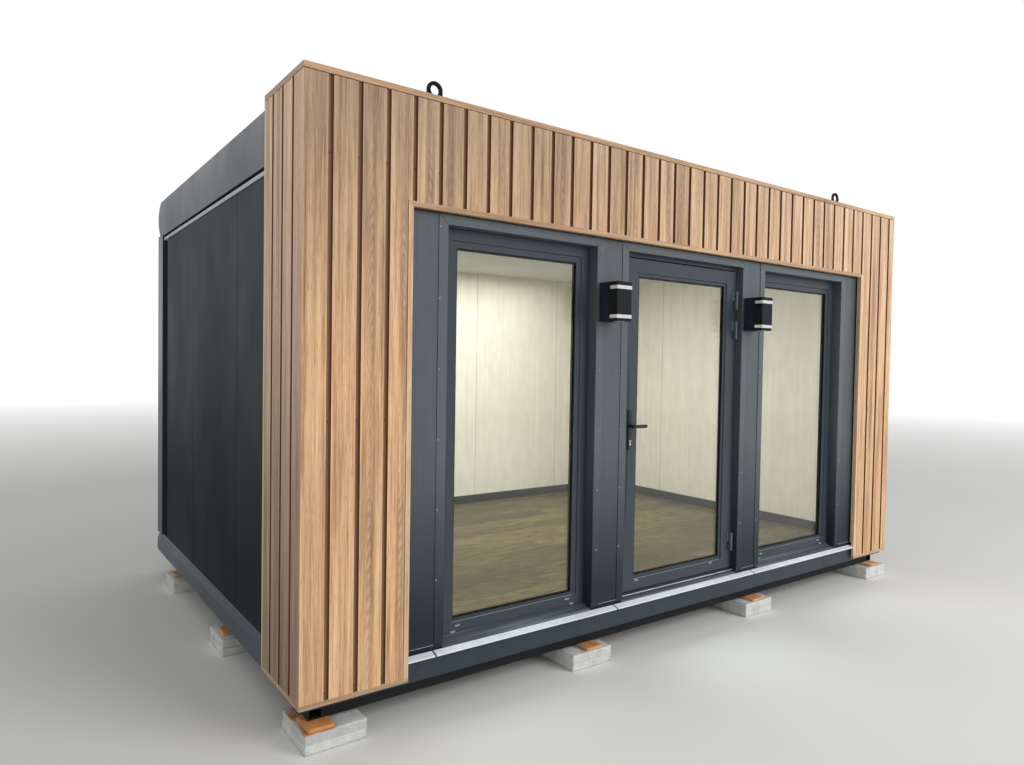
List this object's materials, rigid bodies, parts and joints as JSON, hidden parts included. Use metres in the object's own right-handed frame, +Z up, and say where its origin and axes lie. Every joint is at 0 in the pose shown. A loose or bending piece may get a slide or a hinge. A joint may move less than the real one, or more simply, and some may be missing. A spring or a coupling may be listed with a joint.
{
  "type": "portable office cabin",
  "caption": "Flat-roofed portable office cabin on concrete blocks, with a timber-clad front portal, full-height windows and a glazed door.",
  "frame": {"origin": "on the ground, under the middle of the cabin's bounding box", "axes": "+X to the cabin's right seen from the front, +Y to the back, +Z up; the glazed front faces -Y"},
  "size_m": [5, 3.44, 3.0929],
  "materials": {
    "timber_boards": "oiled boards",
    "anthracite_steel": "satin coat",
    "black_coated_steel": "matt coat",
    "pale_coated_steel": "satin coat",
    "concrete_block": "rough cast",
    "sawn_softwood": "sawn",
    "anthracite_pvc": "foiled",
    "clear_glass": "clear",
    "black_handle_metal": "satin coat",
    "nickel_brass": "nickel plated",
    "hinge_metal": "satin coat",
    "white_board": "painted",
    "laminate_floor": "laminate",
    "dark_skirting": "matt",
    "black_plastic": "fine grained",
    "bright_chrome": "polished"
  },
  "bodies": {
    "cabin": {"ceiling": "white_board", "cladding_base_trims": "timber_boards", "cladding_battens": "sawn_softwood", "cladding_cap": "timber_boards", "cladding_edge_trims": "timber_boards", "cladding_header": "timber_boards", "cladding_legs": "timber_boards", "cladding_returns": "timber_boards", "door_frame": "anthracite_pvc", "drip_cill": "pale_coated_steel", "end_base_rails": "anthracite_steel", "floor_deck": "laminate_floor", "floor_joists": "black_coated_steel", "front_header": "anthracite_steel", "front_panels": "anthracite_steel", "front_roof_beam": "anthracite_steel", "hinge_frame_halves": "hinge_metal", "lifting_eyes": "black_coated_steel", "light_bands": "bright_chrome", "light_bodies": "black_plastic", "light_mounts": "black_plastic", "opening_surrounds": "anthracite_steel", "rear_corner_posts": "anthracite_steel", "rear_fascia": "anthracite_steel", "rear_wall": "anthracite_steel", "roof_frame": "black_coated_steel", "roof_sheet": "anthracite_steel", "side_base_rails": "anthracite_steel", "side_fascias": "anthracite_steel", "side_walls": "anthracite_steel", "skirting": "dark_skirting", "support_blocks": "concrete_block", "timber_shims": "sawn_softwood", "underframe_end_beams": "black_coated_steel", "underframe_side_beams": "black_coated_steel", "wall_lip": "pale_coated_steel", "window_and_door_sills": "anthracite_steel", "window_frames": "anthracite_pvc", "window_glass": "clear_glass"},
    "door": {"door_leaf": "anthracite_pvc", "door_glass": "clear_glass", "door_handle_plates": "black_handle_metal", "lock_cylinder": "nickel_brass", "hinge_door_halves": "hinge_metal"},
    "lever": {"door_lever": "black_handle_metal"}
  },
  "joints": [
    {"name": "door_hinge", "type": "hinge", "parent": "cabin", "child": "door", "pos_m": [0.523, -1.553, 1.35], "axis": [0, 0, 1], "range_deg": [0, 100]},
    {"name": "lever_turn", "type": "hinge", "parent": "door", "child": "lever", "pos_m": [-0.457, -1.573, 1.351], "axis": [0, 1, 0], "range_deg": [0, 40], "stiffness_Nm_per_rad": 1}
  ]
}
